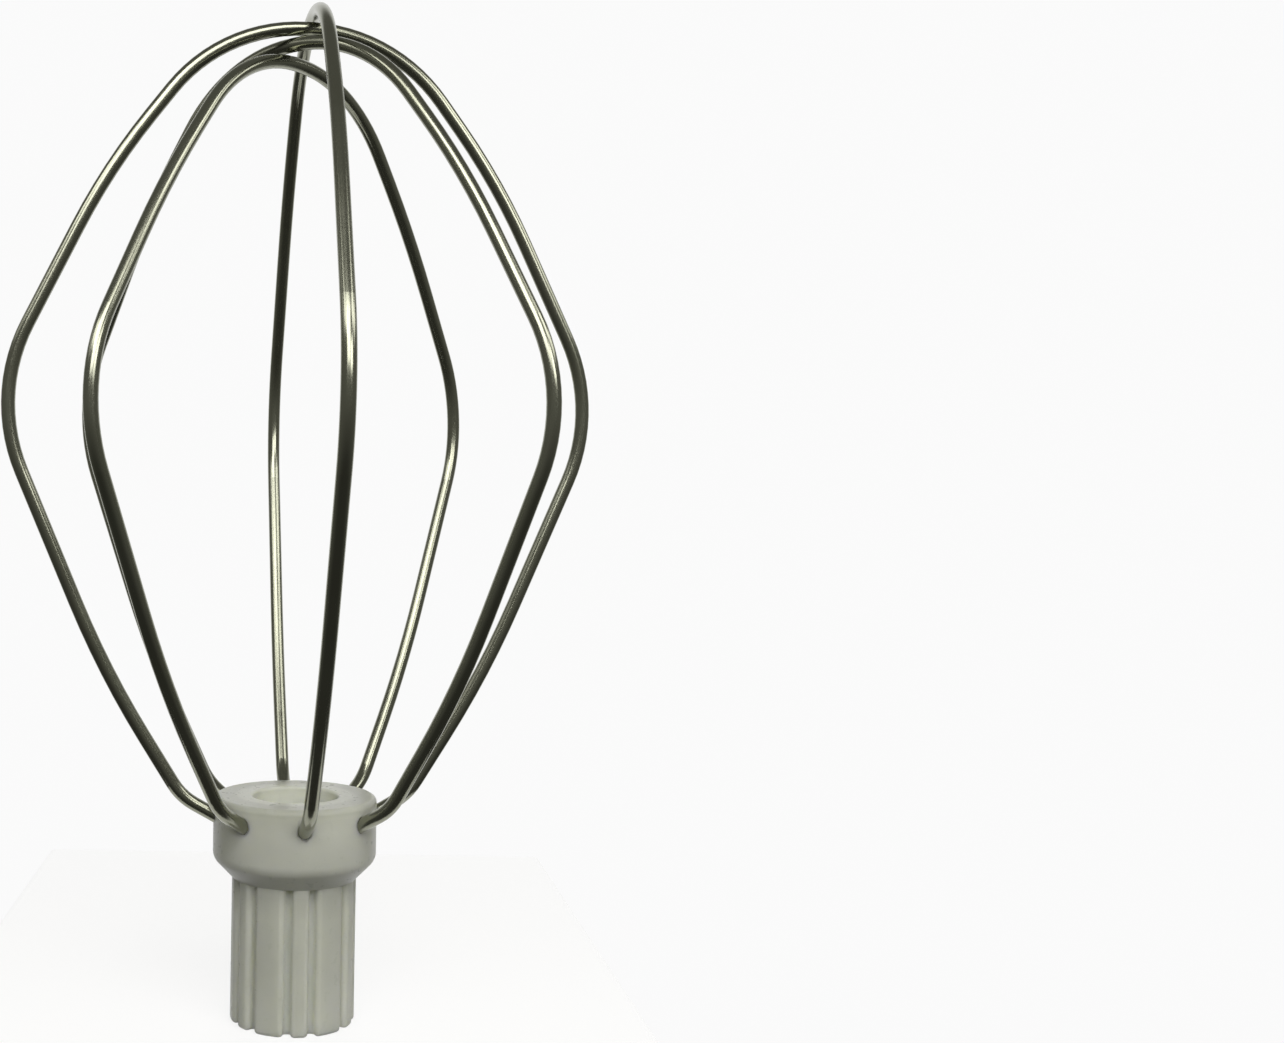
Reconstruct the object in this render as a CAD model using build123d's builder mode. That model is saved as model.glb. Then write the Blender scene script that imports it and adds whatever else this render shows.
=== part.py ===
"""Stand mixer wire whisk: a moulded plastic hub with a fluted drive shank, and four bent wire loops.

Millimetres, +Z up. The origin is the centre of the shank's flat end, on which the whisk stands.
Each loop is a wire bent flat in its own upright plane, with both ends in sloping blind holes in the hub's
collar. The loops cross over one another at the crown, each one a step below the last.
"""
import os
from math import atan2, cos, radians, sin, tan

from build123d import *

# Hub
shank_diameter = 20.7
shank_length = 23.9
shank_edge_radius = 0.6
cone_height = 3.3
collar_diameter = 27.2
collar_height = 10.2
collar_rim_radius = 0.9
collar_foot_radius = 2.4
well_diameter = 14.4
well_floor = 4.0
well_mouth_radius = 0.5

# Flutes in the shank, in pairs: a narrow lobe stands inside each pair, and a wide lobe between pairs
flute_pairs = 6
flute_spread = 11.8
flute_width = 1.1
flute_depth = 1.6
lobe_edge_radius = 0.8

# Wires, and the blind holes in the collar that hold their ends
wire_diameter = 2.3
wire_fit = 0.05
hole_below_rim = 3.2
hole_slope = 29.7
wire_insertion = 5.0

# Corners of a loop's centre line: half widths from the axis, and heights above the wire holes
elbow_reach = 5.5
bow_half_width = 31.9
bow_height = 23.7
waist_half_width = 50.8
waist_height = 68.4
shoulder_half_width = 32.4
shoulder_below_crown = 23.9
crown_half_width = 14.1
crown_height = 132.2

# Bends at those corners: how far from the corner each arc begins and ends
elbow_bend = 2.6
bow_bend = 12.5
waist_bend = 13.2
shoulder_bend = 11.0
crown_flat = 1.0

# Room between the crowns, where the loops of a pair cross and between the two pairs
crossing_gap = 0.25
pair_gap = 0.4

# Loops from the top crown down: turn about the axis and lean off upright, in degrees
loop_turns = (90.0, 1.0, 135.8, 44.8)
loop_leans = (0.4, 1.1, -1.6, -0.5)

shank_radius = shank_diameter / 2
collar_radius = collar_diameter / 2
well_radius = well_diameter / 2
wire_radius = wire_diameter / 2
cone_top = shank_length + cone_height
rim_height = cone_top + collar_height
hole_height = rim_height - hole_below_rim
loop_step = wire_diameter + crossing_gap
pair_step = loop_step + wire_diameter + pair_gap
crown_steps = (0.0, loop_step, pair_step, pair_step + loop_step)
crown_bend = crown_half_width - crown_flat / 2


def loop_plane(turn, lean):
    """Plane of one loop: its X runs level through the loop's two holes, its Y up towards the crown."""
    return Plane(Pos(0, 0, hole_height) * Rot(0, 0, turn) * Rot(90 + lean, 0, 0))


def along_hole(distance):
    """Point of a loop's plane on the sloping hole's axis, a distance outwards from the collar's wall."""
    slope = radians(hole_slope)
    return (collar_radius + distance * cos(slope), distance * sin(slope))


def hole_plane(plane, side):
    """Plane on the blind end of one hole, facing out of its mouth."""
    foot_x, foot_y = along_hole(-wire_insertion - wire_fit)
    mouth_x, mouth_y = along_hole(0)
    foot = plane.from_local_coords(Vector(side * foot_x, foot_y))
    mouth = plane.from_local_coords(Vector(side * mouth_x, mouth_y))
    return Plane(foot, z_dir=mouth - foot)


def bend_radius(before, corner, after, bend):
    """Radius of the arc that rounds a corner and begins and ends a given distance from it."""
    arriving = atan2(corner[1] - before[1], corner[0] - before[0])
    leaving = atan2(after[1] - corner[1], after[0] - corner[0])
    return bend / tan(abs(leaving - arriving) / 2)


def loop_outline(step):
    """Corners of a whole loop from end to end, with the bend radius at each one."""
    crown = crown_height - step
    half = [
        along_hole(-wire_insertion),
        along_hole(elbow_reach / cos(radians(hole_slope))),
        (bow_half_width, bow_height),
        (waist_half_width, waist_height),
        (shoulder_half_width, crown - shoulder_below_crown),
        (crown_half_width, crown),
    ]
    corners = half + [(-x, y) for x, y in reversed(half)]
    bends = [elbow_bend, bow_bend, waist_bend, shoulder_bend, crown_bend]
    radii = []
    for place, bend in enumerate(bends, start=1):
        radii.append(bend_radius(corners[place - 1], corners[place], corners[place + 1], bend))
    return corners, radii + radii[::-1]


# Hub: shank, cone and collar as one moulding with a deep well in its top
with BuildPart() as hub:
    # Shank: flutes between rounded lobes, and a rounded edge at its end
    with BuildSketch(Plane.XY):
        Circle(shank_radius)
        for side in (1, -1):
            with PolarLocations(shank_radius, flute_pairs, start_angle=side * flute_spread - 90):
                SlotOverall(2 * flute_depth, flute_width, mode=Mode.SUBTRACT)
        fillet(vertices().group_by(SortBy.DISTANCE)[-1], lobe_edge_radius)
    extrude(amount=shank_length)
    fillet(edges().group_by(Axis.Z)[0], shank_edge_radius)

    # Cone and collar, with the well down into the shank
    with BuildSketch(Plane.XZ):
        with BuildLine():
            Polyline(
                (0, shank_length),
                (shank_radius, shank_length),
                (collar_radius, cone_top),
                (collar_radius, rim_height),
                (0, rim_height),
                close=True,
            )
        make_face()
    revolve(axis=Axis.Z)
    with BuildSketch(Plane.XY.offset(rim_height)):
        Circle(well_radius)
    extrude(amount=well_floor - rim_height, mode=Mode.SUBTRACT)
    rims = edges().filter_by(GeomType.CIRCLE).group_by(Axis.Z)
    mouth_edge, rim_edge = rims[-1].sort_by(SortBy.RADIUS)
    foot_edge = rims[-2]
    fillet(mouth_edge, well_mouth_radius)
    fillet(rim_edge, collar_rim_radius)
    fillet(foot_edge, collar_foot_radius)

    # Sloping blind holes for the wire ends
    for turn, lean in zip(loop_turns, loop_leans):
        for side in (1, -1):
            with BuildSketch(hole_plane(loop_plane(turn, lean), side)):
                Circle(wire_radius + wire_fit)
            extrude(amount=wire_insertion + wire_diameter, mode=Mode.SUBTRACT)

os.makedirs("parts", exist_ok=True)
hub.part.label = "hub"
export_step(hub.part, "parts/hub.step")

# Wire loops, numbered from the top crown down
for number, (turn, step, lean) in enumerate(zip(loop_turns, crown_steps, loop_leans), start=1):
    corners, radii = loop_outline(step)
    with BuildPart() as wire_loop:
        with BuildLine(loop_plane(turn, lean)) as route:
            FilletPolyline(*corners, radius=radii)
        with BuildSketch(Plane(route.line @ 0, z_dir=route.line % 0)):
            Circle(wire_radius)
        sweep()
    wire_loop.part.label = f"wire_loop_{number}"
    export_step(wire_loop.part, f"parts/wire_loop_{number}.step")
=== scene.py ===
import math

import bpy
from mathutils import Matrix, Vector

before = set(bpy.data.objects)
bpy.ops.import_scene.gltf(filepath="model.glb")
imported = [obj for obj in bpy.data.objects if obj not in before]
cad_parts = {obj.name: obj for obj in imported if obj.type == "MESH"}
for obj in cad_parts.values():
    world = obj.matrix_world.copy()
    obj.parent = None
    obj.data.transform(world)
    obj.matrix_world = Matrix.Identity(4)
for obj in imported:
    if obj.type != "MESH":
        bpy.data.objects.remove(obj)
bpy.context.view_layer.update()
scene = bpy.context.scene
scene.view_settings.view_transform = "Standard"

# Camera: in front of the whisk and level with its middle. The lens is shifted so that the whisk is on the left.
PHOTO_WIDTH = 1284
SENSOR_WIDTH = 36.0
FOCAL_PIXELS = 1529.6
WHISK_COLUMN = 299.7
CAMERA_DISTANCE = 0.25465
CAMERA_HEIGHT = 0.08682
CAMERA_TURN = math.radians(7.02)
CAMERA_PITCH = math.radians(0.866)
CAMERA_ROLL = math.radians(0.925)
CLIP_START = 0.005
CLIP_END = 20.0

camera_data = bpy.data.cameras.new("camera")
camera_data.sensor_fit = "HORIZONTAL"
camera_data.sensor_width = SENSOR_WIDTH
camera_data.lens = SENSOR_WIDTH * FOCAL_PIXELS / PHOTO_WIDTH
camera_data.shift_x = (PHOTO_WIDTH / 2 - WHISK_COLUMN) / PHOTO_WIDTH
camera_data.clip_start = CLIP_START
camera_data.clip_end = CLIP_END
camera = bpy.data.objects.new("camera", camera_data)
scene.collection.objects.link(camera)
camera.location = (
    -CAMERA_DISTANCE * math.sin(CAMERA_TURN),
    -CAMERA_DISTANCE * math.cos(CAMERA_TURN),
    CAMERA_HEIGHT,
)
look = Matrix.Rotation(-CAMERA_TURN, 4, "Z")
look = look @ Matrix.Rotation(math.radians(90) - CAMERA_PITCH, 4, "X")
look = look @ Matrix.Rotation(CAMERA_ROLL, 4, "Z")
camera.rotation_euler = look.to_euler()
scene.camera = camera


# Node helpers
def node_tree(owner):
    """Node tree of a material or world."""
    owner.use_nodes = True
    return owner.node_tree


def set_inputs(tree, node, inputs):
    """Set a node's inputs, each to a value or to another node's output."""
    for socket, value in inputs.items():
        if isinstance(value, bpy.types.NodeSocket):
            tree.links.new(value, node.inputs[socket])
        else:
            node.inputs[socket].default_value = value


def add_node(tree, kind, inputs):
    """New node with its inputs set."""
    node = tree.nodes.new(kind)
    set_inputs(tree, node, inputs)
    return node


def colour_ramp(tree, value, stops):
    """Colour that a value picks from (position, colour) stops."""
    ramp = add_node(tree, "ShaderNodeValToRGB", {"Fac": value})
    elements = ramp.color_ramp.elements
    ready = len(elements)
    for number, (position, colour) in enumerate(stops):
        if number < ready:
            stop = elements[number]
            stop.position = position
        else:
            stop = elements.new(position)
        stop.color = (*colour, 1.0)
    return ramp.outputs["Color"]


def noise(tree, place, scale, detail):
    """Noise of a given scale."""
    return add_node(tree, "ShaderNodeTexNoise", {"Vector": place, "Scale": scale, "Detail": detail}).outputs["Fac"]


def span(tree, value, low, high, most=1.0, interpolation="LINEAR"):
    """Share of the way from low to high that a value has gone, times the most that it may be."""
    reach = add_node(tree, "ShaderNodeMapRange", {"Value": value, "From Min": low, "From Max": high, "To Max": most})
    reach.interpolation_type = interpolation
    return reach.outputs["Result"]


def join_values(tree, operation, first, second):
    """One number from two, such as the greater of them."""
    join = add_node(tree, "ShaderNodeMath", {0: first, 1: second})
    join.operation = operation
    return join.outputs["Value"]


def join_vectors(tree, operation, inputs):
    """Vector node of the given operation."""
    join = add_node(tree, "ShaderNodeVectorMath", inputs)
    join.operation = operation
    return join


def mix_colours(tree, blend, share, first, second):
    """The first colour, blended with the second by the given share."""
    mix = add_node(tree, "ShaderNodeMixRGB", {"Fac": share, "Color1": first, "Color2": second})
    mix.blend_type = blend
    return mix.outputs["Color"]


def mix_shaders(tree, share, first, second):
    """The first shader, with the second in its place by the given share."""
    return add_node(tree, "ShaderNodeMixShader", {"Fac": share, 1: first, 2: second}).outputs["Shader"]


def mirror_rays(tree, rays):
    """One for a ray that left a mirror or came through glass, and otherwise nought."""
    return join_values(tree, "MAXIMUM", rays["Is Glossy Ray"], rays["Is Transmission Ray"])


def grey(value):
    """Colour with equal red, green and blue."""
    return (value, value, value)


# Hub plastic: milky and half gloss, with a faint cloud in its colour. It is paler in the flutes and down the well,
# as painted light that lifts the shade there.
# Painted light makes it palest under the rim, and painted shade makes it darker on the rim and under the cone. Radii
# and heights are in metres.
CLOUD_SCALE = 90.0
CLOUD_DETAIL = 3.0
BODY_STOPS = ((0.35, (0.48, 0.49, 0.435)), (0.65, (0.52, 0.53, 0.475)))
HOLLOW_PAINTED_LIGHT_STOPS = ((0.35, (0.71, 0.725, 0.65)), (0.65, (0.75, 0.765, 0.69)))
HOLLOW_RADIUS = 0.0085
BODY_RADIUS = 0.0102
COLLAR_START = 0.024
COLLAR_FULL = 0.029
COLLAR_BODY_SHARE = 0.5
HUB_HEIGHT = 0.0374
PAINTED_LIGHT_AND_SHADE_BY_HEIGHT = ((0.5, 0.86), (0.6, 0.75), (0.645, 0.83), (0.74, 0.84), (0.9, 1.0), (0.96, 0.93), (0.99, 0.72))
SKIN_SCALE = 900.0
SKIN_DETAIL = 4.0
SKIN_ROUGHNESS = ((0.3, grey(0.26)), (0.7, grey(0.36)))
SKIN_STRENGTH = 0.03
SKIN_DEPTH = 0.0002

plastic = bpy.data.materials.new("hub_plastic")
tree = node_tree(plastic)
place = tree.nodes.new("ShaderNodeTexCoord").outputs["Object"]
cloud = noise(tree, place, CLOUD_SCALE, CLOUD_DETAIL)
level = join_vectors(tree, "MULTIPLY", {0: place, 1: (1.0, 1.0, 0.0)}).outputs["Vector"]
radius = join_vectors(tree, "LENGTH", {0: level}).outputs["Value"]
height = add_node(tree, "ShaderNodeSeparateXYZ", {"Vector": place}).outputs["Z"]
outside = span(tree, radius, HOLLOW_RADIUS, BODY_RADIUS)
collar = span(tree, height, COLLAR_START, COLLAR_FULL, most=COLLAR_BODY_SHARE)
body_share = join_values(tree, "MAXIMUM", outside, collar)
# Painted light: the flutes and the well take a paler colour that lifts the shade in them, and the well in the collar
# takes it in part.
hollow_painted_light = colour_ramp(tree, cloud, HOLLOW_PAINTED_LIGHT_STOPS)
body_colour = colour_ramp(tree, cloud, BODY_STOPS)
milky_with_painted_light = mix_colours(tree, "MIX", body_share, hollow_painted_light, body_colour)
painted_height_stops = [(position, grey(painted_height_light)) for position, painted_height_light in PAINTED_LIGHT_AND_SHADE_BY_HEIGHT]
# Painted light and shade by height: palest under the rim, and darker on the rim and under the cone where shade
# falls.
painted_height_light = colour_ramp(tree, span(tree, height, 0.0, HUB_HEIGHT), painted_height_stops)
skin = noise(tree, place, SKIN_SCALE, SKIN_DETAIL)
bump = add_node(tree, "ShaderNodeBump", {"Height": skin, "Strength": SKIN_STRENGTH, "Distance": SKIN_DEPTH})
set_inputs(tree, tree.nodes["Principled BSDF"], {
    "Base Color": mix_colours(tree, "MULTIPLY", 1.0, milky_with_painted_light, painted_height_light),
    "Roughness": colour_ramp(tree, skin, SKIN_ROUGHNESS),
    "Normal": bump.outputs["Normal"],
    "Specular IOR Level": 0.2,
    "Subsurface Weight": 1.0,
    "Subsurface Radius": (1.0, 1.0, 0.8),
    "Subsurface Scale": 0.004,
})

# Wire steel: polished drawn wire, a little uneven in colour and polish
STAIN_SCALE = 70.0
STAIN_DETAIL = 4.0
STEEL_STOPS = ((0.3, (0.262, 0.267, 0.208)), (0.7, (0.298, 0.303, 0.242)))
POLISH_SCALE = 120.0
POLISH_DETAIL = 3.0
POLISH_ROUGHNESS = ((0.3, grey(0.17)), (0.7, grey(0.21)))

steel = bpy.data.materials.new("wire_steel")
tree = node_tree(steel)
place = tree.nodes.new("ShaderNodeTexCoord").outputs["Object"]
set_inputs(tree, tree.nodes["Principled BSDF"], {
    "Base Color": colour_ramp(tree, noise(tree, place, STAIN_SCALE, STAIN_DETAIL), STEEL_STOPS),
    "Roughness": colour_ramp(tree, noise(tree, place, POLISH_SCALE, POLISH_DETAIL), POLISH_ROUGHNESS),
    "Metallic": 1.0,
})

for name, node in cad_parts.items():
    node.data.materials.clear()
    node.data.materials.append(plastic if name == "hub" else steel)

# Table: small and pale, with the whisk near its front edge. It looks nearly white, with the whisk's faint shadow.
# It is dull to the rays that carry light from it to the whisk.
TABLE_LOW = (-0.06, -0.018, -0.02)
TABLE_HIGH = (0.06, 0.12, 0.0)
TABLE_EDGE = 0.0015
TABLE_EDGE_STEPS = 4
TABLE_WHITENESS = 0.82

table_paint = bpy.data.materials.new("table_paint")
tree = node_tree(table_paint)
dull = tree.nodes["Principled BSDF"]
set_inputs(tree, dull, {"Base Color": (0.22, 0.22, 0.212, 1.0), "Roughness": 0.8})
pale = add_node(tree, "ShaderNodeBsdfDiffuse", {"Color": (0.9, 0.9, 0.88, 1.0)})
white = tree.nodes.new("ShaderNodeEmission")
lit = mix_shaders(tree, TABLE_WHITENESS, pale.outputs["BSDF"], white.outputs["Emission"])
rays = tree.nodes.new("ShaderNodeLightPath").outputs
seen = join_values(tree, "MAXIMUM", rays["Is Camera Ray"], mirror_rays(tree, rays))
surface = mix_shaders(tree, seen, dull.outputs["BSDF"], lit)
set_inputs(tree, tree.nodes["Material Output"], {"Surface": surface})

corners = [
    (x, y, z)
    for x in (TABLE_LOW[0], TABLE_HIGH[0])
    for y in (TABLE_LOW[1], TABLE_HIGH[1])
    for z in (TABLE_LOW[2], TABLE_HIGH[2])
]
faces = [(0, 1, 3, 2), (4, 6, 7, 5), (0, 4, 5, 1), (2, 3, 7, 6), (0, 2, 6, 4), (1, 5, 7, 3)]
table_mesh = bpy.data.meshes.new("table")
table_mesh.from_pydata(corners, [], faces)
table_mesh.update()
table_mesh.materials.append(table_paint)
table = bpy.data.objects.new("table", table_mesh)
table.rotation_euler = (0.0, 0.0, -CAMERA_TURN)
scene.collection.objects.link(table)
rounding = table.modifiers.new("rounding", "BEVEL")
rounding.width = TABLE_EDGE
rounding.segments = TABLE_EDGE_STEPS

# Room: plain grey, dark underfoot and paler overhead. The backdrop is white to the camera from every side, and it
# shows in metal and glass behind the whisk.
ROOM_STOPS = ((0.2, (0.06, 0.06, 0.054)), (0.5, (0.205, 0.205, 0.187)), (0.85, (0.185, 0.185, 0.169)))
BACKDROP_STRENGTH = 0.96
BACKDROP_EDGE = 0.5
BACKDROP_FULL = 0.76

world = bpy.data.worlds.new("room")
tree = node_tree(world)
direction = tree.nodes.new("ShaderNodeTexCoord").outputs["Generated"]
rise = add_node(tree, "ShaderNodeSeparateXYZ", {"Vector": direction}).outputs["Z"]
room = tree.nodes["Background"]
set_inputs(tree, room, {"Color": colour_ramp(tree, span(tree, rise, -1.0, 1.0), ROOM_STOPS)})
backdrop = add_node(tree, "ShaderNodeBackground", {"Color": (1.0, 1.0, 1.0, 1.0), "Strength": BACKDROP_STRENGTH})
heading = (math.sin(CAMERA_TURN), math.cos(CAMERA_TURN), 0.0)
behind = join_vectors(tree, "DOT_PRODUCT", {0: direction, 1: heading}).outputs["Value"]
wrap = span(tree, behind, BACKDROP_EDGE, BACKDROP_FULL, interpolation="SMOOTHSTEP")
rays = tree.nodes.new("ShaderNodeLightPath").outputs
mirrored = join_values(tree, "MULTIPLY", mirror_rays(tree, rays), wrap)
seen = join_values(tree, "MAXIMUM", rays["Is Camera Ray"], mirrored)
surroundings = mix_shaders(tree, seen, room.outputs["Background"], backdrop.outputs["Background"])
set_inputs(tree, tree.nodes["World Output"], {"Surface": surroundings})
scene.world = world

# Lamps: name, azimuth and elevation in degrees, distance, width and height in metres, and radiance.
# Azimuth is from the camera's side towards its right. The first group lights the plastic and has no reflection.
# The second is seen only in the metal, as the pale streaks along the wires.
WHISK_MIDDLE = Vector((0.0, 0.0, 0.09))
LAMP_COLOUR = (1.0, 0.99, 0.965)
PLASTIC_LAMPS = (
    ("front_box", 11.0, 32.0, 0.45, 0.55, 0.33, 5.25),
    ("back_box", 178.0, 9.0, 0.75, 0.6, 0.45, 5.0),
)
METAL_CARDS = (
    ("top_card", -4.0, 34.0, 0.6, 0.413, 0.367, 4.3),
    ("gap_card", 27.0, 44.5, 0.6, 0.24, 0.05, 2.0),
    ("left_card", -44.0, 38.0, 0.75, 0.576, 0.185, 3.3),
    ("far_left_card", -84.0, 28.0, 0.75, 0.5, 0.12, 0.6),
    ("right_card", 66.0, 38.5, 0.75, 0.36, 0.17, 3.6),
    ("far_right_card", 85.0, 28.0, 0.75, 0.45, 0.12, 2.6),
    ("low_card", 34.0, 20.5, 0.6, 0.277, 0.158, 4.6),
)


def soft_box(name, azimuth, elevation, distance, width, height, radiance):
    """Area lamp that faces the whisk's middle, hidden from the camera."""
    turn = math.radians(azimuth) - CAMERA_TURN
    rise = math.radians(elevation)
    away = Vector((math.sin(turn) * math.cos(rise), -math.cos(turn) * math.cos(rise), math.sin(rise)))
    data = bpy.data.lights.new(name, "AREA")
    data.shape = "RECTANGLE"
    data.size = width
    data.size_y = height
    data.energy = radiance * math.pi * width * height
    data.color = LAMP_COLOUR
    lamp = bpy.data.objects.new(name, data)
    scene.collection.objects.link(lamp)
    lamp.location = WHISK_MIDDLE + away * distance
    lamp.rotation_euler = (-away).to_track_quat("-Z", "Y").to_euler()
    lamp.visible_camera = False
    return lamp


for lamp_sizes in PLASTIC_LAMPS:
    soft_box(*lamp_sizes).visible_glossy = False
for card_sizes in METAL_CARDS:
    soft_box(*card_sizes).visible_diffuse = False
